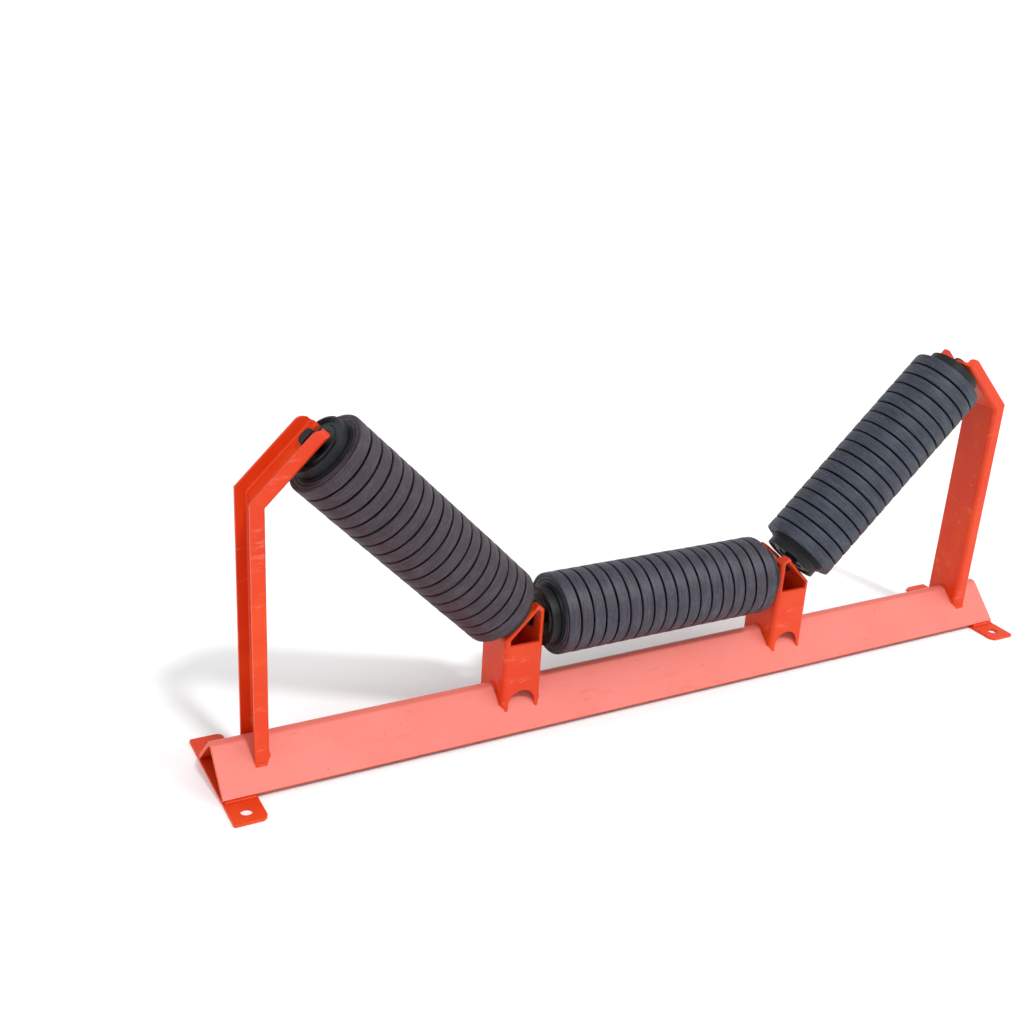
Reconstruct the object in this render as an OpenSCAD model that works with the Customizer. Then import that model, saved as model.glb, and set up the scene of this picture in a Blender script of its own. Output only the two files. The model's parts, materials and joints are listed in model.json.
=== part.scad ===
// Three-roll troughing idler set with rubber impact rings, on a folded angle base.
// Millimetres. X runs across the belt, Y along it, Z up. The origin is the centre of the base, at the
// underside of its feet.

/* [Base] */
// Overall length of the base angle
base_len = 1800; // [1760:10:1880]
// Half width of the base angle, out to its toes
base_half = 77; // [72:1:86]
// Plate thickness of the base angle
base_t = 8; // [6:1:10]
// Outer radius of the fold along the ridge
ridge_r = 18; // [14:1:22]

/* [Feet] */
// Length of a foot plate, front to back
foot_len = 280; // [264:2:300]
// Width of a foot plate
foot_w = 60; // [50:2:70]
// Thickness of a foot plate
foot_t = 6; // [5:1:12]
// Corner radius of a foot plate on its inward side
foot_corner = 13; // [8:1:18]
// Corner radius of a foot plate at the base's end
foot_corner_out = 4; // [2:1:8]
// Distance between a foot's two bolt holes
bolt_pitch = 220; // [212:2:228]
// Diameter of a bolt hole
bolt_hole_d = 22; // [14:1:24]

/* [Rollers] */
// Angle of the wing rollers above level
trough_angle = 45; // [35:1:48]
// Height of the centre roller's axis above the floor
axis_height = 206; // [196:2:230]
// Outer diameter of the rubber rings
ring_od = 159; // [150:1:165]
// Number of rubber rings on a roller
ring_count = 18; // [14:1:18]
// Distance from one ring to the next
ring_pitch = 27; // [24:0.5:28]
// Gap between two rings at the bore
ring_gap = 0.8; // [0.5:0.1:2]
// Edge radius of a ring
ring_edge = 2.6; // [1:0.2:4]
// Width of the steel ring that holds each end of the ring pack
retainer_w = 5; // [4:1:8]
// Height of that ring above the tube
retainer_h = 5; // [3:1:7]
// Outer diameter of the core tube
tube_od = 114; // [112:1:120]
// Wall of the core tube
tube_t = 4.5; // [4:0.5:5]
// Length of the core tube
tube_len = 530; // [524:2:540]

/* [Shafts] */
// Diameter of the shaft at its bearings
shaft_d = 30; // [28:1:32]
// Diameter of the shaft between its bearings
shaft_mid_d = 35; // [34:1:38]
// Distance across the flats at the shaft's ends
flat_w = 22; // [18:1:24]
// How far the shaft stands out of the tube at each end
shaft_out = 25; // [22:1:26]
// Clearance of a flat in its slot, each side
flat_gap = 0.3; // [0.2:0.1:0.6]
// Distance from the tube's end to where the flats start
flat_start = 3; // [2:0.5:6]
// Bevel at the shaft's ends
shaft_bevel = 1.5; // [0.5:0.5:2]

/* [Bearings] */
// Distance from the tube's end to the middle of the bearing
bearing_inset = 40; // [38:1:44]
// Outer diameter of the bearing
bearing_od = 72; // [70:1:76]
// Width of the bearing
bearing_w = 19; // [17:1:21]
// Ball diameter
ball_d = 12.2; // [11:0.1:12.4]
// Number of balls
ball_count = 8; // [7:1:8]
// Running clearance between a ball and its raceway
ball_gap = 0.05; // [0.02:0.01:0.08]
// Wall thickness of a race outside and inside its ball groove
race_wall = 6.3; // [5.5:0.1:6.5]
// Wall of the pressed bearing housing
housing_t = 3.5; // [3:0.5:4]
// Height of the housing's lip behind the bearing
housing_lip = 4; // [3:0.5:5]
// Distance from the bearing's middle to the housing's web
web_shift = 3; // [1:0.5:5]

/* [Circlips] */
// Thickness of a circlip
clip_t = 1.8; // [1.5:0.1:2]
// How far a circlip stands out from the floor of its groove
clip_out = 4.2; // [3.8:0.1:4.6]
// Depth of the circlip's groove
clip_depth = 0.9; // [0.7:0.1:1.1]
// Radius of a circlip's ears
ear_r = 3; // [2.6:0.1:3.2]
// Radius of the hole in an ear
ear_hole_r = 1.1; // [0.9:0.1:1.3]
// Angle from the middle of the gap to the middle of an ear
ear_angle = 16; // [14:1:20]
// Width of the gap between the ears
ear_gap = 4.8; // [3:0.2:5]

/* [Seals and covers] */
// Gap between the circlip and the seal
seal_gap = 0.7; // [0.5:0.1:1.2]
// Width of the seal along the shaft
seal_w = 15; // [14:0.5:16]
// Wall of the seal's hub, round the shaft
seal_hub_t = 2.5; // [2:0.1:2.8]
// Thickness of the seal's plates
seal_t = 2; // [1.5:0.1:2.4]
// Length of the seal's fixed fins, with their plate
fin_len = 10; // [8:0.5:11]
// Radial step from a fin to the next one
fin_pitch = 3.5; // [3:0.1:3.6]
// Thickness of the seal's fins
fin_t = 1.5; // [1:0.1:1.8]
// Radial gap between the hub and the turning half
fin_gap = 1; // [0.6:0.1:1.4]
// Thickness of the end cover
cover_t = 2; // [1.5:0.5:2.5]
// How far the end cover lies inside the tube's end
cover_sunk = 4; // [3:0.5:6]
// Height of the end cover's raised bead
cover_rise = 2.5; // [1.5:0.5:3]
// Length of the end cover's rim
cover_skirt = 9; // [7:1:10]
// Radial gap between the end cover and the shaft
cover_gap = 2; // [1:0.5:3]
// Flat width from the hole to the bead
cover_flat = 12; // [9:1:14]
// Flat width from the bead to the rim
cover_margin = 7; // [5:1:9]

/* [Brackets] */
// Width of an inner bracket, across the belt
bracket_w = 81; // [78:1:92]
// Half depth of a bracket, along the belt
bracket_half = 45; // [42:1:50]
// Plate thickness of a bracket
bracket_t = 6; // [5:0.5:7]
// Gap between the centre tube's end and a bracket
bracket_gap = 11; // [9:1:14]
// Gap between a wing tube's lower end and its bracket
wall_gap = 10.5; // [8:0.5:12]
// Distance from where two axes cross down to the wing tube's end
knuckle = 30; // [28:1:34]
// Distance from a bracket's inner wall to where the axes cross
cross_in = 37; // [35:1:40]
// How far the bracket's peak stands outward of its inner wall
peak_in = 16.5; // [14:0.5:20]
// Drop from the peak to the shoulder over the inner wall
peak_drop = 13.5; // [10:0.5:18]
// Margin of metal beside the bracket's window
window_rim = 10; // [8:0.5:12]
// Margin of metal along the gable, over the bracket's window
window_top_rim = 6.5; // [6.5:0.5:9]
// Height of the window's sill above the floor
window_sill = 177; // [166:1:186]
// Radius of the arch cut in the foot of the bracket
arch_r = 28; // [24:1:29]
// Height of the arch's crown above the floor
arch_top = 80; // [76:1:90]
// Outer radius of the folded corners
fold_r = 10; // [9:0.5:12]
// Outer radius of the bend between a bracket's outer and inclined walls
bend_r = 22; // [16:1:26]
// Height above the floor where a shaft slot starts to flare
flare_from = 236; // [234:1:242]

/* [Posts] */
// Distance from the base's end to the roller side of a post
post_inset = 94; // [90:1:110]
// Depth of the post's channel
post_depth = 27; // [24:1:32]
// Half width of the post's channel
post_half = 44; // [40:1:50]
// Plate thickness of a post
post_t = 6; // [5:0.5:8]
// Gap between a wing tube's upper end and its post
post_gap = 8.5; // [7.5:0.5:12]
// How far a post stands past the roller's axis
post_over = 28; // [24:1:34]
// Gap that the butt weld at a post's knee closes
knee_gap = 0.1; // [0.05:0.05:0.5]
// Outer radius of a post's folds
post_round = 10; // [8.5:0.5:12]
// Radius that rounds the flanges off at the top
flange_round = 23; // [18:1:25]
// Radius that rounds the web's top corners
web_round = 15; // [10:1:20]

/* [Hidden] */
$fn = 64;

frame_paint = "#E8502E";
rubber_black = "#4A464E";
dark_steel = "#3A3F4C";
bare_steel = "#B9BCC2";
seal_black = "#2E2C33";
cage_brass = "#C79A4B";

left = -1;
centre = 0;
right = 1;
far = 1000;
slack = 1;
// A fold's arc crosses its two faces at a slight angle instead of touching them, where this is under 1
settle = 0.985;

// Base section: two legs at 45 degrees under a rounded ridge
toe_top = foot_t + base_t * sin(45);
ridge_sharp = toe_top + base_half;
ridge_mid = ridge_sharp - ridge_r * sqrt(2);

// Roller axes
cross_x = tube_len / 2 + bracket_gap + cross_in;
wing_mid = knuckle + tube_len / 2;
wing_x = cross_x + wing_mid * cos(trough_angle);
wing_z = axis_height + wing_mid * sin(trough_angle);
// Height at x of a plane square to the wing axis, at a distance s along it from the crossing point
function square_z(x, s) = axis_height + (s - (x - cross_x) * cos(trough_angle)) / sin(trough_angle);

// Brackets
bracket_in = tube_len / 2 + bracket_gap;
bracket_out = bracket_in + bracket_w;
incline = knuckle - wall_gap;
peak_x = bracket_in + peak_in;
peak_z = square_z(peak_x, incline);

// Posts
post_x = base_len / 2 - post_inset;
post_face = knuckle + tube_len + post_gap;
knee_z = square_z(post_x, post_face);
knee_to_axis = (post_x - cross_x) * sin(trough_angle) - (knee_z - axis_height) * cos(trough_angle);
post_top = knee_to_axis + post_over;

// Shaft flats and the slots that hold them
seat_gap = 0.1;
flat_drop = sqrt(pow(shaft_d / 2, 2) - pow(flat_w / 2, 2));
notch_r = flat_w / 2 + flat_gap;
notch_mid = flat_drop - sqrt(pow(notch_r / settle, 2) - pow(flat_w / 2, 2)) + seat_gap;
flat_from = tube_len / 2 + flat_start;

// Bearings and their housings
bearing_at = tube_len / 2 - bearing_inset;
bearing_end = bearing_at + bearing_w / 2;
bearing_r = bearing_od / 2;
ball_ring_r = (bearing_r + shaft_d / 2) / 2;
race_groove_r = ball_d / 2 + ball_gap;
tube_bore_r = tube_od / 2 - tube_t;
seal_from = bearing_end + clip_t + seal_gap;
seal_to = seal_from + seal_w;
// Inner radius of a seal's fins, counted outward: even ones turn, odd ones are fixed
function fin_at(i) = shaft_d / 2 + seal_hub_t + fin_gap + i * fin_pitch;

// ---- Placing -------------------------------------------------------------------------------------------

// Carries children to a roller's place, with local X along its axis and pointing outward
module at_roller(place) {
  if (place == centre)
    translate([0, 0, axis_height]) children();
  else
    at_side(place) translate([wing_x, 0, wing_z]) rotate([0, -trough_angle, 0]) children();
}

// Keeps children on the right, or mirrors them to the left
module at_side(place) {
  if (place == left)
    mirror([1, 0, 0]) children();
  else
    children();
}

module both_ends() {
  children();
  mirror([1, 0, 0]) children();
}

// What a square edge along Z loses when it is rounded, with the piece on its -X and -Y sides
module edge_waste(r, h) {
  difference() {
    translate([-r, -r, 0]) cube([r + slack, r + slack, h]);
    translate([-r, -r, -slack]) cylinder(r = r / settle, h = h + 2 * slack);
  }
}

// A slot through X, round at its lower end, with the middle of that end at the origin
module round_slot(half, reach, x1, x2) {
  intersection() {
    translate([x1, -half, -2 * half]) cube([x2 - x1, 2 * half, reach + 2 * half]);
    union() {
      translate([x1, -2 * half, 0]) cube([x2 - x1, 4 * half, reach]);
      translate([x1, 0, 0]) rotate([0, 90, 0]) cylinder(r = half / settle, h = x2 - x1);
    }
  }
}

// Turns a profile of [radius, distance along the axis] round the X axis
module turned() {
  rotate([0, 90, 0]) rotate_extrude() children();
}

// Extrudes an XZ outline along Y, from y1 to y2
module along_y(y1, y2) {
  translate([0, y2, 0]) rotate([90, 0, 0]) linear_extrude(y2 - y1) children();
}

// ---- Base and feet --------------------------------------------------------------------------------------

// Extrudes a YZ outline along X, from x1 to x2
module along_x(x1, x2) {
  translate([x1, 0, 0]) rotate([90, 0, 90]) linear_extrude(x2 - x1) children();
}

// Rod along the ridge, on the fold's centre line
module ridge_rod(r) {
  half = base_len / 2 + slack;
  translate([-half, 0, ridge_mid]) rotate([0, 90, 0]) cylinder(r = r / settle, h = 2 * half);
}

// Everything up to the base's outer faces, with the ridge rounded
module roof() {
  half = base_len / 2 + slack;
  foot_z = ridge_mid + ridge_r * cos(45);
  intersection() {
    along_x(-half, half) polygon([
      [-ridge_sharp - slack, -slack], [0, ridge_sharp], [ridge_sharp + slack, -slack]
    ]);
    union() {
      ridge_rod(ridge_r);
      translate([-half, -far / 2, -slack]) cube([2 * half, far, foot_z + slack]);
    }
  }
}

// Angle section with its ridge up: two legs, square-cut at the toes, with the fold rounded inside too
module base_angle() {
  toe_in = base_half - base_t * sin(45);
  ridge_in = ridge_sharp - base_t * sqrt(2);
  fold_in = ridge_r - base_t;
  foot_z = ridge_mid + fold_in * cos(45);
  half = base_len / 2;
  color(frame_paint) {
    intersection() {
      along_x(-half, half) polygon([
        [-base_half, toe_top], [0, ridge_sharp], [base_half, toe_top],
        [toe_in, foot_t], [0, ridge_in], [-toe_in, foot_t]
      ]);
      roof();
    }
    difference() {
      along_x(-half, half) polygon([
        [foot_z - ridge_in - slack, foot_z], [0, ridge_in + slack], [ridge_in - foot_z + slack, foot_z]
      ]);
      ridge_rod(fold_in);
    }
  }
}

module foot_plate(place) {
  color(frame_paint)
  at_side(place) difference() {
    translate([base_len / 2 - foot_w, -foot_len / 2, 0]) cube([foot_w, foot_len, foot_t]);
    for (side = [0, 1])
      mirror([0, side, 0]) {
        translate([base_len / 2 - foot_w / 2, bolt_pitch / 2, -slack])
          cylinder(d = bolt_hole_d, h = foot_t + 2 * slack);
        translate([base_len / 2, foot_len / 2, -slack])
          edge_waste(foot_corner_out, foot_t + 2 * slack);
        translate([base_len / 2 - foot_w, foot_len / 2, -slack]) mirror([1, 0, 0])
          edge_waste(foot_corner, foot_t + 2 * slack);
      }
  }
}

// ---- Posts ----------------------------------------------------------------------------------------------

// Slab on the YZ plane, depth thick, with rounded upright edges at x = 0
module round_slab(depth, half, r, from, to) {
  difference() {
    translate([0, -half, from]) cube([depth, 2 * half, to - from]);
    for (side = [0, 1])
      mirror([0, side, 0]) translate([0, half, from - slack]) mirror([1, 0, 0])
        edge_waste(r, to - from + 2 * slack);
  }
}

// Channel along Z: a web on the YZ plane and two flanges that point along +X
module channel(from, to) {
  difference() {
    round_slab(post_depth, post_half, post_round, from, to);
    translate([post_t, 0, 0])
      round_slab(post_depth, post_half - post_t, post_round - post_t, from - slack, to + slack);
  }
}

// What lies past the mitre at a leg's end, with the knee at the origin
module past_mitre(side) {
  reach = 4 * post_depth;
  rotate([0, -trough_angle / 2, 0]) translate([-reach, -reach, side > 0 ? 0 : -2 * reach])
    cube(2 * reach);
}

// What the free corners of the flanges and of the web lose at the top
module post_top_waste() {
  translate([post_depth, -far / 2, post_top]) rotate([-90, 0, 0]) mirror([0, 1, 0])
    edge_waste(flange_round, far);
  for (side = [0, 1])
    mirror([0, side, 0]) translate([-slack, post_half, post_top]) rotate([90, 0, 90])
      edge_waste(web_round, 2 * post_depth);
}

// Slot for a shaft's flats, open upward, in what lies between x1 and x2 along a roller's axis
module shaft_notch(place, x1, x2) {
  reach = 6 * notch_r;
  intersection() {
    translate([0, -notch_r, 0]) cube([far, 2 * notch_r, far]);
    at_roller(place) translate([x1, 0, -notch_mid]) {
      translate([0, -2 * notch_r, 0]) cube([x2 - x1, 4 * notch_r, reach]);
      rotate([0, 90, 0]) cylinder(r = notch_r / settle, h = x2 - x1);
    }
  }
}

// Two lengths of channel, mitred and butt-welded at the knee
module post(place) {
  color(frame_paint)
  at_side(place) {
    difference() {
      translate([post_x, 0, 0]) channel(0, knee_z + post_depth);
      translate([post_x, 0, knee_z - knee_gap / 2]) past_mitre(1);
      roof();
    }
    difference() {
      translate([post_x, 0, knee_z]) rotate([0, -trough_angle, 0]) difference() {
        channel(-post_depth, post_top);
        post_top_waste();
      }
      translate([post_x, 0, knee_z + knee_gap / 2]) past_mitre(-1);
      shaft_notch(right, tube_len / 2 + post_gap - slack, tube_len / 2 + post_gap + post_depth);
    }
  }
}

// ---- Inner brackets -------------------------------------------------------------------------------------

// XZ outline of a bracket above floor_z, with its sides and its gable moved inward
module bracket_outline(side_inset, top_inset, floor_z) {
  x1 = bracket_in + side_inset;
  x2 = bracket_out - side_inset;
  rise = peak_drop / peak_in;
  fall = 1 / tan(trough_angle);
  // Heights at x = 0 of the gable's line and of the inclined wall's line
  gable_zero = peak_z - rise * peak_x - top_inset * sqrt(1 + rise * rise);
  wall_zero = square_z(0, incline - top_inset);
  top_x = (wall_zero - gable_zero) / (rise + fall);
  polygon([
    [x1, floor_z], [x2, floor_z], [x2, wall_zero - fall * x2],
    [top_x, gable_zero + rise * top_x], [x1, gable_zero + rise * x1]
  ]);
}

module bracket_window() {
  bracket_outline(window_rim, window_top_rim, window_sill);
}

// Arch in the foot of a bracket, cut through walls between y1 and y2
module bracket_arch(y1, y2) {
  translate([bracket_in + bracket_w / 2, 0, arch_top - arch_r / settle]) rotate([180, 0, 90])
    round_slot(arch_r, arch_top, y1, y2);
}

// Front web and two side walls in one folded piece, open at the back
module bracket(place) {
  color(frame_paint)
  at_side(place) difference() {
    along_y(-bracket_half, bracket_half) bracket_outline(0, 0, 0);
    bracket_fold_waste();
    bracket_bend_waste();
    along_y(bracket_t - bracket_half, far) bracket_outline(bracket_t, bracket_t, -slack);
    along_y(-far, 0) bracket_window();
    bracket_arch(-far, 0);
    bracket_notches();
    roof();
  }
}

// What the front edges of the two side walls and the inclined wall lose to their folds
module bracket_fold_waste() {
  corner = [bracket_out, -bracket_half, square_z(bracket_out, incline)];
  tight = 0.8 * fold_r;
  reach = 2 * bracket_w;
  translate([bracket_out, -bracket_half, 0]) mirror([0, 1, 0]) edge_waste(fold_r, far);
  translate([bracket_in, -bracket_half, 0]) rotate([0, 0, 180]) edge_waste(fold_r, far);
  translate(corner) rotate([0, -trough_angle, 0]) mirror([0, 1, 0])
    translate([0, 0, -reach / 2]) edge_waste(tight, reach);
}

// What a bracket's outer wall and its inclined wall lose to the bend between them
module bracket_bend_waste() {
  reach = bend_r * tan(trough_angle / 2);
  corner_z = square_z(bracket_out, incline);
  difference() {
    translate([bracket_out, 0, corner_z]) along_y(-far, far) polygon([
      [0, -reach], [slack, -reach], [slack, slack], [-reach * sin(trough_angle), reach * cos(trough_angle)]
    ]);
    translate([bracket_out - bend_r, far, corner_z - reach]) rotate([90, 0, 0])
      cylinder(r = bend_r / settle, h = 2 * far);
  }
}

// Slots that the two shafts drop into, flared at the top
module bracket_notches() {
  shaft_notch(centre, bracket_in - slack, tube_len / 2 + shaft_out + 2 * slack);
  shaft_notch(right, -tube_len / 2 - shaft_out - slack, slack - tube_len / 2 - wall_gap);
  along_x(bracket_in - slack, bracket_out) polygon([
    [-notch_r, flare_from], [notch_r, flare_from],
    [notch_r + bracket_half, flare_from + bracket_half], [-notch_r - bracket_half, flare_from + bracket_half]
  ]);
}

// Plate that closes a bracket's back, between its side walls
module bracket_cheek(place) {
  color(frame_paint)
  at_side(place) difference() {
    along_y(bracket_half - bracket_t, bracket_half) bracket_outline(bracket_t, bracket_t, 0);
    along_y(0, far) bracket_window();
    bracket_arch(0, far);
    roof();
  }
}

// ---- Shafts and what is fixed to them -------------------------------------------------------------------

module shaft(place) {
  half = tube_len / 2 + shaft_out;
  shoulder = bearing_at - bearing_w / 2;
  color(dark_steel)
  at_roller(place) difference() {
    turned() both_ways() polygon([
      [0, 0], [shaft_mid_d / 2, 0], [shaft_mid_d / 2, shoulder], [shaft_d / 2, shoulder],
      [shaft_d / 2, bearing_end], [shaft_d / 2 - clip_depth, bearing_end],
      [shaft_d / 2 - clip_depth, bearing_end + clip_t], [shaft_d / 2, bearing_end + clip_t],
      [shaft_d / 2, half - shaft_bevel], [shaft_d / 2 - shaft_bevel, half], [0, half]
    ]);
    both_ends() for (y = [0, 1])
      mirror([0, y, 0]) translate([flat_from, flat_w / 2, -shaft_d]) cube([far, far, 2 * shaft_d]);
  }
}

// A profile and its mirror image beyond the axis' middle
module both_ways() {
  children();
  mirror([0, 1]) children();
}

module circlips(place) {
  inner_r = shaft_d / 2 - clip_depth;
  outer_r = inner_r + clip_out;
  color(bare_steel)
  at_roller(place) both_ends() translate([bearing_end, 0, 0]) rotate([90, 0, 90])
  linear_extrude(clip_t) difference() {
    union() {
      circle(outer_r);
      for (side = [-1, 1])
        rotate(90 + side * ear_angle) translate([outer_r, 0]) circle(ear_r);
    }
    circle(inner_r);
    for (side = [-1, 1])
      rotate(90 + side * ear_angle) translate([outer_r, 0]) circle(ear_hole_r);
    translate([-ear_gap / 2, 0]) square([ear_gap, far]);
  }
}

// A race: a chamfered ring between two radii, with the ball groove cut in it
module race(r1, r2) {
  c = 0.8;
  h = bearing_w / 2;
  turned() difference() {
    polygon([
      [r1 + c, -h], [r2 - c, -h], [r2, c - h], [r2, h - c], [r2 - c, h], [r1 + c, h],
      [r1, h - c], [r1, c - h]
    ]);
    translate([ball_ring_r, 0]) circle(race_groove_r);
  }
}

module inner_races(place) {
  color(bare_steel)
  at_roller(place) both_ends() translate([bearing_at, 0, 0]) race(shaft_d / 2, shaft_d / 2 + race_wall);
}

// Fixed half of the labyrinth: a hub with two fins that face outward
module seal_cores(place) {
  hub = shaft_d / 2 + seal_hub_t;
  root = seal_from + seal_t;
  tip = seal_from + fin_len;
  color(seal_black)
  at_roller(place) both_ends() turned() polygon([
    [shaft_d / 2, seal_from], [fin_at(3) + fin_t, seal_from], [fin_at(3) + fin_t, tip], [fin_at(3), tip],
    [fin_at(3), root], [fin_at(1) + fin_t, root], [fin_at(1) + fin_t, tip], [fin_at(1), tip],
    [fin_at(1), root], [hub, root], [hub, seal_to], [shaft_d / 2, seal_to]
  ]);
}

// ---- What turns with a roller ---------------------------------------------------------------------------

module core_tube(place) {
  color(dark_steel)
  at_roller(place) turned() translate([tube_bore_r, -tube_len / 2]) square([tube_t, tube_len]);
}

// Half profile of one ring, lying from 0 to w along the axis
module ring_profile(w) {
  r1 = tube_od / 2;
  r2 = ring_od / 2;
  translate([r1, 0]) square([r2 - r1 - ring_edge, w]);
  translate([r1, ring_edge]) square([r2 - r1, w - 2 * ring_edge]);
  for (a = [ring_edge, w - ring_edge])
    translate([r2 - ring_edge, a]) circle(ring_edge);
}

module rubber_rings(place) {
  w = ring_pitch - ring_gap;
  start = -ring_count * ring_pitch / 2 + ring_gap / 2;
  color(rubber_black)
  at_roller(place) for (i = [0 : ring_count - 1])
    translate([start + i * ring_pitch, 0, 0]) turned() ring_profile(w);
}

module retaining_rings(place) {
  from = ring_count * ring_pitch / 2 - ring_gap / 2;
  color(dark_steel)
  at_roller(place) both_ends() turned() translate([tube_od / 2, from]) square([retainer_h, retainer_w]);
}

// Pressed housing: an inner sleeve that seats the bearing, a web, and an outer sleeve in the tube
module bearing_housings(place) {
  lip = bearing_at - bearing_w / 2;
  web = bearing_at + web_shift;
  sleeve = bearing_r + housing_t;
  sleeve_end = seal_to + cover_t / 2;
  end = tube_len / 2 - cover_sunk / 2;
  color(dark_steel)
  at_roller(place) both_ends() turned() polygon([
    [bearing_r - housing_lip, lip - housing_t], [sleeve, lip - housing_t], [sleeve, web],
    [tube_bore_r, web], [tube_bore_r, end], [tube_bore_r - housing_t, end],
    [tube_bore_r - housing_t, web + housing_t], [sleeve, web + housing_t], [sleeve, sleeve_end],
    [bearing_r, sleeve_end], [bearing_r, lip], [bearing_r - housing_lip, lip]
  ]);
}

module outer_races(place) {
  color(bare_steel)
  at_roller(place) both_ends() translate([bearing_at, 0, 0]) race(bearing_r - race_wall, bearing_r);
}

// Turning half of the labyrinth: a dished ring in the housing, with two fins that face inward
module seal_rings(place) {
  root = seal_to - seal_t;
  tip = seal_from + 2 * seal_t;
  wall = bearing_r - seal_t;
  color(seal_black)
  at_roller(place) both_ends() turned() polygon([
    [bearing_r, seal_from + seal_t], [bearing_r, seal_to], [fin_at(0), seal_to], [fin_at(0), tip],
    [fin_at(0) + fin_t, tip], [fin_at(0) + fin_t, root], [fin_at(2), root], [fin_at(2), tip],
    [fin_at(2) + fin_t, tip], [fin_at(2) + fin_t, root], [wall, root], [wall, seal_from + seal_t]
  ]);
}

// Pressed end cover with a raised bead round the shaft
module end_covers(place) {
  rim = tube_bore_r - housing_t;
  face = tube_len / 2 - cover_sunk;
  bead = face + cover_rise;
  hole = shaft_d / 2 + cover_gap;
  bead_in = hole + cover_flat;
  bead_out = rim - cover_margin;
  skirt = face - cover_skirt;
  // Undersides of the faces, and how far the slopes' undersides lie from their upper sides
  under = face - cover_t;
  bead_under = bead - cover_t;
  nip = cover_t * tan(45 / 2);
  color(dark_steel)
  at_roller(place) both_ends() turned() polygon([
    [rim - cover_t, skirt], [rim, skirt], [rim, face], [bead_out, face], [bead_out - cover_rise, bead],
    [bead_in + cover_rise, bead], [bead_in, face], [hole, face], [hole, under], [bead_in + nip, under],
    [bead_in + cover_rise + nip, bead_under], [bead_out - cover_rise - nip, bead_under],
    [bead_out - nip, under], [rim - cover_t, under]
  ]);
}

// ---- Balls and cages ------------------------------------------------------------------------------------

module at_balls() {
  for (i = [0 : ball_count - 1])
    rotate([i * 360 / ball_count, 0, 0]) translate([0, 0, ball_ring_r]) children();
}

module ball_cages(place) {
  cage_t = 3.2;
  cage_w = 14;
  pocket_gap = 0.05;
  color(cage_brass)
  at_roller(place) both_ends() translate([bearing_at, 0, 0]) difference() {
    turned() translate([ball_ring_r - cage_t / 2, -cage_w / 2]) square([cage_t, cage_w]);
    at_balls() sphere(r = ball_d / 2 + pocket_gap);
  }
}

module bearing_balls(place) {
  color(bare_steel)
  at_roller(place) both_ends() translate([bearing_at, 0, 0]) at_balls() sphere(d = ball_d);
}

base_angle();
foot_plate(left);  // foot_plate_left
foot_plate(right);  // foot_plate_right
post(left);  // post_left
post(right);  // post_right
bracket(left);  // bracket_left
bracket(right);  // bracket_right
bracket_cheek(left);  // bracket_cheek_left
bracket_cheek(right);  // bracket_cheek_right
shaft(left);  // shaft_left
shaft(centre);  // shaft_centre
shaft(right);  // shaft_right
circlips(left);  // circlips_left
circlips(centre);  // circlips_centre
circlips(right);  // circlips_right
inner_races(left);  // inner_races_left
inner_races(centre);  // inner_races_centre
inner_races(right);  // inner_races_right
seal_cores(left);  // seal_cores_left
seal_cores(centre);  // seal_cores_centre
seal_cores(right);  // seal_cores_right
core_tube(left);  // core_tube_left
core_tube(centre);  // core_tube_centre
core_tube(right);  // core_tube_right
rubber_rings(left);  // rubber_rings_left
rubber_rings(centre);  // rubber_rings_centre
rubber_rings(right);  // rubber_rings_right
retaining_rings(left);  // retaining_rings_left
retaining_rings(centre);  // retaining_rings_centre
retaining_rings(right);  // retaining_rings_right
bearing_housings(left);  // bearing_housings_left
bearing_housings(centre);  // bearing_housings_centre
bearing_housings(right);  // bearing_housings_right
outer_races(left);  // outer_races_left
outer_races(centre);  // outer_races_centre
outer_races(right);  // outer_races_right
seal_rings(left);  // seal_rings_left
seal_rings(centre);  // seal_rings_centre
seal_rings(right);  // seal_rings_right
end_covers(left);  // end_covers_left
end_covers(centre);  // end_covers_centre
end_covers(right);  // end_covers_right
ball_cages(left);  // ball_cages_left
ball_cages(centre);  // ball_cages_centre
ball_cages(right);  // ball_cages_right
bearing_balls(left);  // bearing_balls_left
bearing_balls(centre);  // bearing_balls_centre
bearing_balls(right);  // bearing_balls_right
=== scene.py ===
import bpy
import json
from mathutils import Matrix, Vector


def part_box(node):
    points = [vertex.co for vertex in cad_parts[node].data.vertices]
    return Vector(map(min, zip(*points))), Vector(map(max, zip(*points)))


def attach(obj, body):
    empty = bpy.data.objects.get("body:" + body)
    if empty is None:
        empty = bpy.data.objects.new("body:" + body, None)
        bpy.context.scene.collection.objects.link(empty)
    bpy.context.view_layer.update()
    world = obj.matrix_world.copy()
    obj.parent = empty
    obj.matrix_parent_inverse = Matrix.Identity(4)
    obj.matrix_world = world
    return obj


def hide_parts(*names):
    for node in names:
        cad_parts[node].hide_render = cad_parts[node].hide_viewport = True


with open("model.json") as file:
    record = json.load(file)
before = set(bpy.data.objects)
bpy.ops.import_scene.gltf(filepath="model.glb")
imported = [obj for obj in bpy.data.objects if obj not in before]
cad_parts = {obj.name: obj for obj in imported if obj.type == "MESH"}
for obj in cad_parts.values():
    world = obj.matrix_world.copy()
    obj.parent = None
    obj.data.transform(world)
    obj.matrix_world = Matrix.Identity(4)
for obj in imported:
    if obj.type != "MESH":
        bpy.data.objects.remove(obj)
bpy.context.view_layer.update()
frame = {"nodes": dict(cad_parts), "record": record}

import json
import math
import random

import bmesh
import bpy
from mathutils import Matrix, Vector, noise

mm = 0.001
rollers = ("left", "centre", "right")
sideSign = {"left": -1, "right": 1}
mixFactor, mixUnder, mixOver, mixResult = 0, 6, 7, 2  # the Mix node's sockets when it mixes colours


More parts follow.
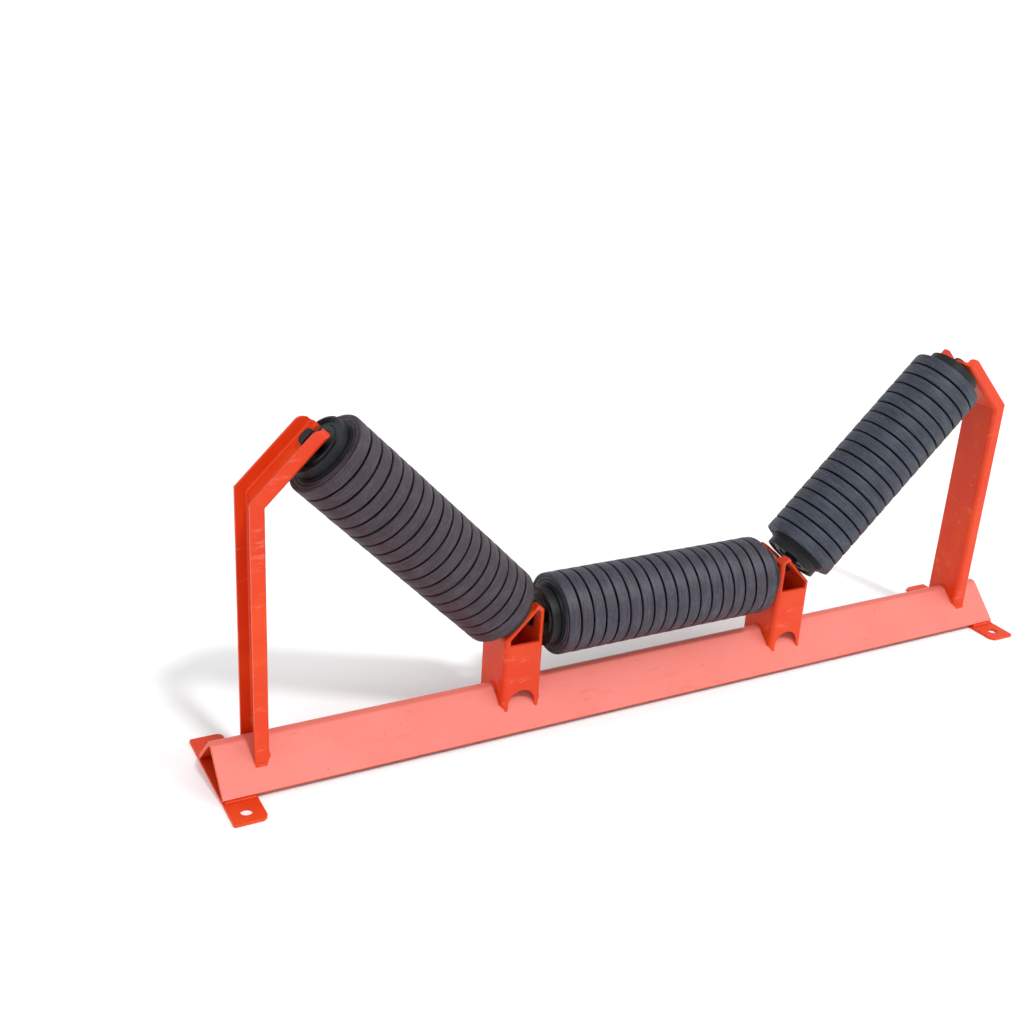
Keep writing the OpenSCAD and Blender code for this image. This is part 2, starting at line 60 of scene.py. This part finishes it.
# Shared helpers: colours, nodes, pieces and the rollers' places
def linearColour(hexCode):
    parts = [int(hexCode[i:i + 2], 16) / 255 for i in (1, 3, 5)]
    return [p / 12.92 if p <= 0.04045 else ((p + 0.055) / 1.055) ** 2.4 for p in parts] + [1.0]


def addNode(tree, kind, links=None, stops=(), **settings):
    # links feed or set the node's sockets; stops are a ramp's two pairs of place and
    # grey level, or of place and colour
    node = tree.nodes.new(f"ShaderNode{kind}")
    for name, value in settings.items():
        setattr(node, name, value)
    for socket, source in (links or {}).items():
        if isinstance(source, bpy.types.NodeSocket):
            tree.links.new(source, node.inputs[socket])
        else:
            node.inputs[socket].default_value = source
    if stops:
        for element, (place, colour) in zip(node.color_ramp.elements, stops):
            element.position = place
            element.color = colour if isinstance(colour, list) else [colour, colour, colour, 1.0]
    return node


def startMaterial(name):
    material = bpy.data.materials.new(name)
    material.use_nodes = True
    return material, material.node_tree.nodes["Principled BSDF"]


def dress(node, material):
    piece = frame["nodes"][node]
    piece.data.materials.clear()
    piece.data.materials.append(material)


def addObject(name, mesh, material):
    data = bpy.data.meshes.new(name)
    mesh.to_mesh(data)
    mesh.free()
    data.materials.append(material)
    for face in data.polygons:
        face.use_smooth = True
    thing = bpy.data.objects.new(name, data)
    bpy.context.scene.collection.objects.link(thing)
    return thing


def makePiece(name, mesh, body, material, place=None):
    piece = addObject(name, mesh, material)
    if place is not None:
        piece.matrix_world = place
    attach(piece, body)
    return piece


def rollerPlace(side):
    # local X runs along the roller's axis and Z points away from the floor
    joint = next(j for j in frame["record"]["behaviour"]["joints"] if j["name"] == f"roller_{side}_spin")
    along = Vector(joint["axis"]).normalized()
    if along.x < 0:
        along = -along
    across = Vector((0, 1, 0))
    up = along.cross(across)
    place = Matrix((along, across, up)).transposed().to_4x4()
    place.translation = Vector(joint["pos_m"])
    return place


# Materials. A pattern's scale is one over its size, and each pair of stops turns a pattern into a mask.
enamelLook = {
    "body": "#D4380A",
    "thin": "#E2560E",  # where the spray came out thin
    "deep": "#C62E08",  # where it pooled
    "paintedSlopeSheen": "#D8776D",  # painted highlight: a pale pink put on the base's faces that slope up, standing in for the light's gloss on them
    "scuff": "#E8907C",  # chalky rub marks
    "rub": "#BC5046",  # duller red rub marks, put on the base in place of the scuffs, breaking up its painted sheen
    "chip": "#5A2A20",  # primer that shows through chips
    "patches": {"Scale": 1 / (90 * mm), "Detail": 4.0, "Roughness": 0.55},
    "rolls": {"Scale": 1 / (300 * mm), "Detail": 2.0},
    "scuffs": {"Scale": 1 / (26 * mm), "Detail": 8.0, "Roughness": 0.75},
    "chips": {"Scale": 1 / (7 * mm), "Detail": 3.0, "Roughness": 0.6},
    "peel": {"Scale": 1 / (2.4 * mm), "Detail": 1.0},  # orange peel, a little coarse so that it shows
    "scuffStretch": (0.3, 1.0, 1.0),
    "thinStops": ((0.45, 0.0), (0.75, 0.55)),
    "deepStops": ((0.35, 0.5), (0.6, 0.0)),
    "slopeStops": ((0.45, 0.0), (0.66, 1.0)),  # how far up a face looks before it takes the painted highlight
    "paintedSheenStops": ((0.3, 0.85), (0.75, 0.7225)),
    "scuffStops": ((0.58, 0.0), (0.7, 0.42)),
    "chipStops": ((0.72, 0.0), (0.73, 0.7)),
    "roughStops": ((0.3, 0.4), (0.75, 0.48)),
    "peelBump": {"Strength": 0.1, "Distance": 0.1 * mm},
    "patchBump": {"Strength": 0.2, "Distance": 0.6 * mm},
    "chipBump": {"Strength": 0.5, "Distance": 0.15 * mm},
    "ior": 1.38,
}


def sprayedEnamel(name, withPaintedSheen=False):
    # alkyd enamel sprayed on mill-finish steel: an even skin with faint orange peel; with the painted
    # sheen it is also paler and pinker on faces that slope upward, a painted highlight for the light's
    # gloss on them
    look = enamelLook
    material, shader = startMaterial(name)
    tree = material.node_tree
    where = addNode(tree, "TexCoord").outputs["Object"]
    patches = addNode(tree, "TexNoise", {"Vector": where, **look["patches"]}).outputs["Fac"]
    rolls = addNode(tree, "TexNoise", {"Vector": where, **look["rolls"]}).outputs["Fac"]
    coats = [("thin", addNode(tree, "ValToRGB", {0: patches}, look["thinStops"]).outputs[0]),
             ("deep", addNode(tree, "ValToRGB", {0: rolls}, look["deepStops"]).outputs[0])]
    if withPaintedSheen:
        # painted highlight: faces that point up are mixed toward pale pink, in blotches
        normal = addNode(tree, "NewGeometry").outputs["Normal"]
        upward = addNode(tree, "SeparateXYZ", {0: normal}).outputs["Z"]
        sloping = addNode(tree, "ValToRGB", {0: upward}, look["slopeStops"]).outputs[0]
        sheenBlotches = addNode(tree, "ValToRGB", {0: patches}, look["paintedSheenStops"]).outputs[0]
        paintedSheenMask = addNode(tree, "Math", {0: sloping, 1: sheenBlotches}, operation="MULTIPLY").outputs[0]
        coats.append(("paintedSlopeSheen", paintedSheenMask))
    stretched = addNode(tree, "Mapping", {"Vector": where, "Scale": look["scuffStretch"]}).outputs[0]
    scuffs = addNode(tree, "TexNoise", {"Vector": stretched, **look["scuffs"]}).outputs["Fac"]
    chips = addNode(tree, "TexNoise", {"Vector": where, **look["chips"]}).outputs["Fac"]
    scuffMask = addNode(tree, "ValToRGB", {0: scuffs}, look["scuffStops"]).outputs[0]
    chipMask = addNode(tree, "ValToRGB", {0: chips}, look["chipStops"]).outputs[0]
    coats += [("rub" if withPaintedSheen else "scuff", scuffMask), ("chip", chipMask)]
    colour = linearColour(look["body"])
    for coat, mask in coats:
        colour = addNode(tree, "Mix", {
            mixFactor: mask, mixUnder: colour, mixOver: linearColour(look[coat])},
            data_type="RGBA").outputs[mixResult]
    tree.links.new(colour, shader.inputs["Base Color"])
    rough = addNode(tree, "ValToRGB", {0: patches}, look["roughStops"])
    tree.links.new(rough.outputs[0], shader.inputs["Roughness"])
    peel = addNode(tree, "TexNoise", {"Vector": where, **look["peel"]}).outputs["Fac"]
    fine = addNode(tree, "Bump", {"Height": peel, **look["peelBump"]})
    wavy = addNode(tree, "Bump", {"Height": patches, "Normal": fine.outputs[0], **look["patchBump"]})
    sunk = addNode(tree, "Bump", {
        "Height": chipMask, "Normal": wavy.outputs[0], **look["chipBump"]}, invert=True)
    tree.links.new(sunk.outputs[0], shader.inputs["Normal"])
    shader.inputs["IOR"].default_value = look["ior"]
    return material


rubberLook = {
    "rollerTints": {  # each roller's copy is tinted apart, bluer on the right and browner on the left: painted light, standing in for the light and reflections each roller gets
        "left": {"name": "brownBlackGroundRubber", "body": "#1F0F12", "worn": "#4B4250"},
        "centre": {"name": "blackGroundRubber", "body": "#1D1014", "worn": "#4C4E61"},
        "right": {"name": "blueBlackGroundRubber", "body": "#13141B", "worn": "#444F60"},
    },
    "dust": "#665860",
    "grind": {"Scale": 1 / (0.9 * mm), "Detail": 5.0, "Roughness": 0.75},
    "grindStretch": (1.0, 0.03, 0.03),  # grind marks run round the ring, drawn coarse so that they show
    "mottle": {"Scale": 1 / (30 * mm), "Detail": 5.0, "Roughness": 0.6},
    "specks": {"Scale": 1 / (3 * mm), "Detail": 2.0},
    "mottleStops": ((0.3, 0.45), (0.7, 0.9)),
    "grindStops": ((0.38, 0.0), (0.62, 1.0)),
    "dustStops": ((0.6, 0.0), (0.75, 0.5)),
    "roughStops": ((0.3, 0.6), (0.7, 0.48)),
    "grindBump": {"Strength": 0.5, "Distance": 0.2 * mm},
    "ior": 1.5,
    "specular": 0.45,
}


def groundRubber(side):
    # carbon-black natural rubber, moulded and then ground round: matt, streaked round the roller, and
    # greyer where it is rubbed
    look = rubberLook
    rollerTint = look["rollerTints"][side]
    material, shader = startMaterial(rollerTint["name"])
    tree = material.node_tree
    where = addNode(tree, "TexCoord").outputs["Object"]
    stretched = addNode(tree, "Mapping", {"Vector": where, "Scale": look["grindStretch"]}).outputs[0]
    streaks = addNode(tree, "TexNoise", {"Vector": stretched, **look["grind"]}).outputs["Fac"]
    mottle = addNode(tree, "TexNoise", {"Vector": where, **look["mottle"]}).outputs["Fac"]
    specks = addNode(tree, "TexNoise", {"Vector": where, **look["specks"]}).outputs["Fac"]
    rubbed = addNode(tree, "Math", {
        0: addNode(tree, "ValToRGB", {0: mottle}, look["mottleStops"]).outputs[0],
        1: addNode(tree, "ValToRGB", {0: streaks}, look["grindStops"]).outputs[0]},
        operation="MULTIPLY").outputs[0]
    dusty = addNode(tree, "ValToRGB", {0: specks}, look["dustStops"]).outputs[0]
    # the roller's own tint, a painted stand-in for how that roller is lit
    colour = linearColour(rollerTint["body"])
    for coat, mask in ((rollerTint["worn"], rubbed), (look["dust"], dusty)):
        colour = addNode(tree, "Mix", {
            mixFactor: mask, mixUnder: colour, mixOver: linearColour(coat)},
            data_type="RGBA").outputs[mixResult]
    tree.links.new(colour, shader.inputs["Base Color"])
    rough = addNode(tree, "ValToRGB", {0: mottle}, look["roughStops"])
    tree.links.new(rough.outputs[0], shader.inputs["Roughness"])
    bump = addNode(tree, "Bump", {"Height": streaks, **look["grindBump"]})
    tree.links.new(bump.outputs[0], shader.inputs["Normal"])
    shader.inputs["IOR"].default_value = look["ior"]
    shader.inputs["Specular IOR Level"].default_value = look["specular"]
    return material


primerLook = {
    "tube": {"name": "blackTubePrimer", "body": "#0B0C10", "roughStops": ((0.3, 0.42), (0.8, 0.62))},
    "cover": {"name": "blackCoverPrimer", "body": "#0A0F12", "roughStops": ((0.3, 0.34), (0.8, 0.54))},
    "thick": "#151C20",  # painted highlight: a dark teal sheen, laid on in patches
    "patches": {"Scale": 1 / (14 * mm), "Detail": 5.0, "Roughness": 0.65},
    "thickStops": ((0.4, 0.0), (0.75, 0.8)),
    "bump": {"Strength": 0.2, "Distance": 0.3 * mm},
    "specular": 0.35,
}


def primedSteel(part):
    # black dip primer on steel: thin, a little glossy, with the tool marks of the steel showing through
    look = primerLook
    own = look[part]
    material, shader = startMaterial(own["name"])
    tree = material.node_tree
    where = addNode(tree, "TexCoord").outputs["Object"]
    patches = addNode(tree, "TexNoise", {"Vector": where, **look["patches"]}).outputs["Fac"]
    # painted highlight: random patches mixed toward the teal sheen
    tone = addNode(tree, "Mix", {
        mixFactor: addNode(tree, "ValToRGB", {0: patches}, look["thickStops"]).outputs[0],
        mixUnder: linearColour(own["body"]), mixOver: linearColour(look["thick"])}, data_type="RGBA")
    tree.links.new(tone.outputs[mixResult], shader.inputs["Base Color"])
    rough = addNode(tree, "ValToRGB", {0: patches}, own["roughStops"])
    tree.links.new(rough.outputs[0], shader.inputs["Roughness"])
    bump = addNode(tree, "Bump", {"Height": patches, **look["bump"]})
    tree.links.new(bump.outputs[0], shader.inputs["Normal"])
    shader.inputs["Specular IOR Level"].default_value = look["specular"]
    return material


turnedLook = {
    "shaft": {"name": "darkTurnedSteel", "body": "#1A1D29", "marked": "#4A4F5C",
              "roughStops": ((0.3, 0.38), (0.8, 0.53))},
    "spring": {"name": "phosphatedSpringSteel", "body": "#3C3C42", "marked": "#55565C",
               "roughStops": ((0.3, 0.5), (0.8, 0.65))},
    "bearing": {"name": "groundBearingSteel", "body": "#B5B7BC", "marked": "#8C8E94",
                "roughStops": ((0.3, 0.18), (0.8, 0.33))},
    "cage": {"name": "machinedCageBrass", "body": "#C39A4A", "marked": "#E0C078",
             "roughStops": ((0.3, 0.3), (0.8, 0.45))},
    "marks": {"Scale": 1 / (1.2 * mm), "Detail": 3.0},  # coarser than the real ones, so that they show
    "markStops": ((0.35, 0.0), (0.7, 0.5)),
    "bump": {"Strength": 0.15, "Distance": 0.1 * mm},
}


def turnedMetal(part):
    # steel or brass off the lathe: a metal with fine tool marks
    look = turnedLook
    own = look[part]
    material, shader = startMaterial(own["name"])
    tree = material.node_tree
    where = addNode(tree, "TexCoord").outputs["Object"]
    marks = addNode(tree, "TexNoise", {"Vector": where, **look["marks"]}).outputs["Fac"]
    tone = addNode(tree, "Mix", {
        mixFactor: addNode(tree, "ValToRGB", {0: marks}, look["markStops"]).outputs[0],
        mixUnder: linearColour(own["body"]), mixOver: linearColour(own["marked"])}, data_type="RGBA")
    tree.links.new(tone.outputs[mixResult], shader.inputs["Base Color"])
    rough = addNode(tree, "ValToRGB", {0: marks}, own["roughStops"])
    tree.links.new(rough.outputs[0], shader.inputs["Roughness"])
    bump = addNode(tree, "Bump", {"Height": marks, **look["bump"]})
    tree.links.new(bump.outputs[0], shader.inputs["Normal"])
    shader.inputs["Metallic"].default_value = 1.0
    return material


nylonLook = {
    "dark": "#1A191C",
    "pale": "#2A292E",
    "grain": {"Scale": 1 / (1.5 * mm), "Detail": 2.0},
    "grainFrom": 0.3,
    "grainTo": 0.8,
    "bump": {"Strength": 0.1, "Distance": 0.1 * mm},
    "roughness": 0.5,
}


def mouldedNylon(name):
    # glass-filled nylon, moulded: black and even, with a faint matt grain
    look = nylonLook
    material, shader = startMaterial(name)
    tree = material.node_tree
    where = addNode(tree, "TexCoord").outputs["Object"]
    grain = addNode(tree, "TexNoise", {"Vector": where, **look["grain"]}).outputs["Fac"]
    tone = addNode(tree, "ValToRGB", {0: grain}, (
        (look["grainFrom"], linearColour(look["dark"])), (look["grainTo"], linearColour(look["pale"]))))
    tree.links.new(tone.outputs[0], shader.inputs["Base Color"])
    bump = addNode(tree, "Bump", {"Height": grain, **look["bump"]})
    tree.links.new(bump.outputs[0], shader.inputs["Normal"])
    shader.inputs["Roughness"].default_value = look["roughness"]
    return material


enamel = sprayedEnamel("orangeSprayedEnamel")
rubber = {side: groundRubber(side) for side in rollers}
tubePrimer = primedSteel("tube")
finishes = {
    "frame_paint": enamel,
    "ring_rubber": rubber["centre"],
    "tube_paint": tubePrimer,
    "pressed_steel": tubePrimer,
    "cover_paint": primedSteel("cover"),
    "shaft_steel": turnedMetal("shaft"),
    "spring_steel": turnedMetal("spring"),
    "bearing_steel": turnedMetal("bearing"),
    "cage_brass": turnedMetal("cage"),
    "seal_plastic": mouldedNylon("mouldedSealNylon"),
}
print("materials made")

for part in frame["record"]["subparts"]:
    dress(part["node"], finishes[part["material_slot"]])


# Painted plates have soft edges: paint draws back from them and hides the burr
plateEdges = {
    "radius": 0.9 * mm,
    "rounds": 3,
    "sharpFrom": 28,  # degrees between two faces that meet in an edge
    "joinWithin": 0.002 * mm,
    "flatWeight": 100,  # big faces keep their own shading and leave the turn to the edge
}


def softenEdges(piece):
    for face in piece.data.polygons:
        face.use_smooth = True
    weld = piece.modifiers.new("joinFaces", "WELD")
    weld.merge_threshold = plateEdges["joinWithin"]
    bevel = piece.modifiers.new("paintedEdge", "BEVEL")
    bevel.width = plateEdges["radius"]
    bevel.segments = plateEdges["rounds"]
    bevel.limit_method = "ANGLE"
    bevel.angle_limit = math.radians(plateEdges["sharpFrom"])
    flatten = piece.modifiers.new("flatFaces", "WEIGHTED_NORMAL")
    flatten.mode = "FACE_AREA"
    flatten.weight = plateEdges["flatWeight"]


for piece in frame["nodes"].values():
    if piece.data.materials[0] is enamel:
        softenEdges(piece)
# the base takes the painted highlight on its upward-sloping faces
dress("base_angle", sprayedEnamel("orangeEnamelWithPaintedSheen", withPaintedSheen=True))
print("frame dressed")


# Rubber rings, with their worn faces and moulded side grooves
ringPack = {
    "count": 18,
    "gap": 0.8 * mm,  # between two plain rings of the CAD
    "seam": 4.0 * mm,  # between two dressed rings, wide enough to show as a dark groove
    "edge": 1.5 * mm,  # radius of the face's rounded edges
    "edgePoints": 6,
    "crown": 0.3 * mm,  # how much lower a ring's face is at its edges than at its middle
    "crownPoints": 3,
    "moulding": 1.2 * mm,  # depth of the moulded grooves in a ring's side
    "mouldingSlant": 0.3,
    "mouldings": ((0.22, 0.42), (0.55, 0.72)),  # where they start and end, from bore to face
    "uneven": 0.45 * mm,  # how far one ring is worn below another
    "wobble": 0.25 * mm,  # how far a ring is worn out of round
    "wobbleBumps": 2.5,
    "phases": 50,  # how far apart the rings' wobbles may start, so that no two are alike
    "steps": 144,
}


def ringProfile(width, bore, outer):
    # (distance along the axis, radius) from one side of the bore over the face to the other
    edge, crown, step = ringPack["edge"], ringPack["crown"], ringPack["moulding"]
    slant = ringPack["mouldingSlant"] * step
    half = width / 2
    rise = outer - bore
    left = [(-half, bore)]
    for low, high in ringPack["mouldings"]:
        left += [(-half, bore + low * rise), (-half + step, bore + low * rise + slant),
                 (-half + step, bore + high * rise - slant), (-half, bore + high * rise)]
    for i in range(ringPack["edgePoints"]):
        turn = math.radians(90 * i / (ringPack["edgePoints"] - 1))
        left.append((-half + edge * (1 - math.cos(turn)), outer - edge * (1 - math.sin(turn)) - crown))
    for i in range(1, ringPack["crownPoints"]):
        away = 1 - i / ringPack["crownPoints"]
        left.append((-(half - edge) * away, outer - crown * away ** 2))
    return left + [(0.0, outer)] + [(-a, r) for a, r in reversed(left)]


def buildRings(side):
    low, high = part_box("rubber_rings_centre")
    outer = (high.z - low.z) / 2
    tubeLow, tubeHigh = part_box("core_tube_centre")
    bore = (tubeHigh.z - tubeLow.z) / 2
    count, steps, bumps = ringPack["count"], ringPack["steps"], ringPack["wobbleBumps"]
    pitch = (high.x - low.x + ringPack["gap"]) / count
    profile = ringProfile(pitch - ringPack["seam"], bore, outer)
    dice = random.Random(f"rings {side}")
    mesh = bmesh.new()
    for k in range(count):
        middle = (k - (count - 1) / 2) * pitch
        worn = dice.uniform(0.0, ringPack["uneven"])
        phase = dice.uniform(0, ringPack["phases"])
        loops = []
        for s in range(steps):
            turn = 2 * math.pi * s / steps
            spot = Vector((math.cos(turn) * bumps, math.sin(turn) * bumps, phase))
            lost = worn + ringPack["wobble"] * (noise.noise(spot) + 1) / 2
            loop = []
            for a, r in profile:
                radius = r - max(0.0, (r - bore) / (outer - bore)) * lost
                corner = (middle + a, radius * math.sin(turn), radius * math.cos(turn))
                loop.append(mesh.verts.new(corner))
            loops.append(loop)
        for s in range(steps):
            here, there = loops[s], loops[(s + 1) % steps]
            for i in range(len(profile)):
                j = (i + 1) % len(profile)
                mesh.faces.new((here[i], here[j], there[j], there[i]))
    bmesh.ops.recalc_face_normals(mesh, faces=mesh.faces)
    piece = makePiece(f"dressed_rings_{side}", mesh, f"roller_{side}", rubber[side], rollerPlace(side))
    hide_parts(f"rubber_rings_{side}")


for side in rollers:
    buildRings(side)
print("rings built")


# Weld beads on the frame
baseFold = {"plate": 8 * mm, "ridge": 18 * mm, "foot": 6 * mm, "slope": math.radians(45)}
beadShape = {
    "radius": 3.2 * mm,
    "ripple": 2.6 * mm,
    "step": 0.65 * mm,
    "corners": 10,
    "least": 0.84,  # the bead's size between ripples, as a share of its radius
    "rippled": 0.16,
    "uneven": 0.08,
    "unevenPerMetre": 260,
    "tip": 0.35,
    "taper": 0.8,
    "taperSteps": 3,
    "ridgeSteps": 36,  # how finely a bead's path follows the rounded ridge
}


def roofHeight(y):
    # height of the base's outer faces
    ridge, slope = baseFold["ridge"], baseFold["slope"]
    sharp = baseFold["foot"] + baseFold["plate"] * math.sin(slope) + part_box("base_angle")[1].y
    if abs(y) < ridge * math.sin(slope):
        return sharp - ridge * math.sqrt(2) + math.sqrt(ridge ** 2 - y * y)
    return sharp - abs(y)


def overRidge(x, fromY, toY):
    steps = beadShape["ridgeSteps"]
    return [Vector((x, y, roofHeight(y)))
            for y in (fromY + (toY - fromY) * i / steps for i in range(steps + 1))]


def beadAlong(mesh, points, radius):
    # a rippled half-buried rope of weld metal along a path
    shape = beadShape
    spots = []
    for a, b in zip(points, points[1:]):
        pieces = max(1, round((b - a).length / shape["step"]))
        spots += [a.lerp(b, i / pieces) for i in range(pieces)]
    spots.append(points[-1])
    last = len(spots) - 1
    turns = [2 * math.pi * k / shape["corners"] for k in range(shape["corners"])]
    travelled = 0.0
    loops = []
    for i, spot in enumerate(spots):
        before, after = spots[max(0, i - 1)], spots[min(last, i + 1)]
        travelled += (spot - before).length
        along = (after - before).normalized()
        sideways = along.orthogonal().normalized()
        other = along.cross(sideways)
        wave = abs(math.sin(math.pi * travelled / shape["ripple"]))
        grain = noise.noise(spot * shape["unevenPerMetre"])
        size = radius * (shape["least"] + shape["rippled"] * wave + shape["uneven"] * grain)
        if i in (0, last):
            size *= shape["tip"]
        elif min(i, last - i) < shape["taperSteps"]:
            size *= shape["taper"]
        loops.append([mesh.verts.new(spot + size * (math.cos(turn) * sideways + math.sin(turn) * other))
                      for turn in turns])
    for here, there in zip(loops, loops[1:]):
        for k in range(len(turns)):
            j = (k + 1) % len(turns)
            mesh.faces.new((here[k], here[j], there[j], there[k]))
    mesh.faces.new(list(reversed(loops[0])))
    mesh.faces.new(loops[-1])


postFoot = {"depth": 27 * mm, "endGap": 7 * mm, "sideGap": 5 * mm}


def postWelds(side):
    # over the ridge under the web, and along the foot of each flange
    shape = postFoot
    sign = sideSign[side]
    low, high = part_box(f"post_{side}")
    outerX = sign * max(abs(low.x), abs(high.x))
    webX = outerX - sign * shape["depth"]
    half, gap = high.y, shape["endGap"]
    mesh = bmesh.new()
    beadAlong(mesh, overRidge(webX, -half + gap, half - gap), beadShape["radius"])
    for y in (-half, half):
        beadAlong(mesh, [Vector((webX + sign * shape["sideGap"], y, roofHeight(y))),
                         Vector((outerX, y, roofHeight(y)))], beadShape["radius"])
    makePiece(f"post_welds_{side}", mesh, "frame", enamel)


bracketFoot = {"leg": 12 * mm, "frontGap": 7 * mm, "backGap": 1 * mm, "sideGap": 5 * mm}


def bracketWelds(side):
    # over the ridge under each side wall, and along the feet beside the arches
    shape = bracketFoot
    low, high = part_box(f"bracket_{side}")
    half = high.y
    mesh = bmesh.new()
    for x in (low.x, high.x):
        beadAlong(mesh, overRidge(x, -half + shape["frontGap"], half - shape["backGap"]),
                  beadShape["radius"])
    for a, b in ((low.x + shape["sideGap"], low.x + shape["leg"]),
                 (high.x - shape["leg"], high.x - shape["sideGap"])):
        for y in (-half, half):
            beadAlong(mesh, [Vector((a, y, roofHeight(half))), Vector((b, y, roofHeight(half)))],
                      beadShape["radius"])
    makePiece(f"bracket_welds_{side}", mesh, "frame", enamel)


toeBead = {"endGap": 2 * mm, "lift": 1 * mm, "fatter": 1.2}


def toeWelds(side):
    # the base's toes are welded down to the foot plate, front and back
    sign = sideSign[side]
    low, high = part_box(f"foot_plate_{side}")
    inner, outer = sorted((abs(low.x), abs(high.x)))
    ends = [sign * (inner + toeBead["endGap"]), sign * (outer - toeBead["endGap"])]
    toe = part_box("base_angle")[1].y
    mesh = bmesh.new()
    for way in (-1, 1):
        beadAlong(mesh, [Vector((x, way * toe, high.z + toeBead["lift"])) for x in ends],
                  toeBead["fatter"] * beadShape["radius"])
    makePiece(f"toe_welds_{side}", mesh, "frame", enamel)


kneeBead = {
    "kneeHeight": 517 * mm,
    "mitre": math.radians(22.5),
    "radius": 1.3 * mm,
    "sunk": 0.4 * mm,
    "endGap": 8 * mm,
    "lipGap": 1 * mm,
}


def kneeWelds(side):
    # the mitred knee's butt weld, dressed nearly flush
    shape = kneeBead
    sign = sideSign[side]
    low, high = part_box(f"post_{side}")
    webX = max(abs(low.x), abs(high.x)) - postFoot["depth"]
    half = high.y
    kneeZ, gap = shape["kneeHeight"], shape["endGap"]
    reach = postFoot["depth"] / math.cos(shape["mitre"])
    mesh = bmesh.new()
    beadAlong(mesh, [Vector((sign * (webX + shape["sunk"]), y, kneeZ))
                     for y in (-half + gap, half - gap)], shape["radius"])
    for way in (-1, 1):
        y = way * (half - shape["sunk"])
        a = Vector((sign * (webX + gap), y, kneeZ + gap * math.tan(shape["mitre"])))
        b = Vector((sign * (webX + postFoot["depth"] - shape["lipGap"]), y,
                    kneeZ + (reach - shape["lipGap"]) * math.sin(shape["mitre"])))
        beadAlong(mesh, [a, b], shape["radius"])
    makePiece(f"knee_welds_{side}", mesh, "frame", enamel)


for side in sideSign:
    postWelds(side)
    bracketWelds(side)
    toeWelds(side)
    kneeWelds(side)
print("welds built")


# Stage, light and camera
floorSetup = {"across": 80.0, "white": "#FAFAFA", "roughness": 0.9}


def buildFloor():
    mesh = bmesh.new()
    bmesh.ops.create_grid(mesh, x_segments=2, y_segments=2, size=floorSetup["across"] / 2)
    material, shader = startMaterial("paleFloor")
    shader.inputs["Base Color"].default_value = linearColour(floorSetup["white"])
    shader.inputs["Roughness"].default_value = floorSetup["roughness"]
    floor = addObject("floor", mesh, material)


lightSetup = {
    "aim": (0, 0, 0.25),
    "keyFrom": (0.109, -0.563, 0.819),
    "keyPower": 1.35,
    "keyAngle": 7.0,  # degrees across, which sets how soft its shadows are
    "fillFrom": (-0.93, -0.22, 0.3),
    "fillPower": 0.9,
    "fillAngle": 60.0,
    "sunDistance": 5.0,
    "panelFrom": (0.62, -0.41, 0.67),
    "panelPower": 230,
    "panelSize": 5.0,
    "panelDistance": 8.0,
    "skyStops": ((0.1, 1.05), (0.4, 0.62)),  # brightness by how high one looks
}


def buildLights():
    look = lightSetup
    key = bpy.data.lights.new("key", "SUN")
    key.energy = look["keyPower"]
    key.angle = math.radians(look["keyAngle"])
    fill = bpy.data.lights.new("fill", "SUN")
    fill.energy = look["fillPower"]
    fill.angle = math.radians(look["fillAngle"])
    panel = bpy.data.lights.new("panel", "AREA")
    panel.shape = "SQUARE"
    panel.size = look["panelSize"]
    panel.energy = look["panelPower"]
    for data, source, distance in ((key, look["keyFrom"], look["sunDistance"]),
                                   (fill, look["fillFrom"], look["sunDistance"]),
                                   (panel, look["panelFrom"], look["panelDistance"])):
        light = bpy.data.objects.new(data.name, data)
        light.location = Vector(look["aim"]) + distance * Vector(source).normalized()
        light.rotation_euler = Vector(source).to_track_quat("Z", "Y").to_euler()
        bpy.context.scene.collection.objects.link(light)
    world = bpy.data.worlds.new("studio")
    world.use_nodes = True
    tree = world.node_tree
    toward = addNode(tree, "TexCoord").outputs["Generated"]
    height = addNode(tree, "SeparateXYZ", {0: toward}).outputs["Z"]
    sky = addNode(tree, "ValToRGB", {0: height}, look["skyStops"])
    tree.links.new(sky.outputs[0], tree.nodes["Background"].inputs["Color"])
    bpy.context.scene.world = world
    bpy.context.scene.view_settings.view_transform = "Standard"


cameraSetup = {
    "place": (-1387.2 * mm, -1887.9 * mm, 1323.9 * mm),
    "azimuth": -29.1,
    "elevation": 22.5,
    "roll": 3.5,
    "focal": 45.65,
    "sensor": 36,
}


def buildCamera():
    turn, lift, roll = (math.radians(cameraSetup[angle]) for angle in ("azimuth", "elevation", "roll"))
    back = Vector((math.sin(turn) * math.cos(lift), -math.cos(turn) * math.cos(lift), math.sin(lift)))
    right = (-back).cross(Vector((0, 0, 1))).normalized()
    up = right.cross(-back)
    rolledRight = right * math.cos(roll) + up * math.sin(roll)
    rolledUp = up * math.cos(roll) - right * math.sin(roll)
    data = bpy.data.cameras.new("camera")
    data.lens = cameraSetup["focal"]
    data.sensor_width = cameraSetup["sensor"]
    camera = bpy.data.objects.new("camera", data)
    camera.matrix_world = Matrix((rolledRight, rolledUp, back)).transposed().to_4x4()
    camera.matrix_world.translation = Vector(cameraSetup["place"])
    bpy.context.scene.collection.objects.link(camera)
    bpy.context.scene.camera = camera


buildFloor()
buildLights()
buildCamera()
print("stage, lights and camera set")
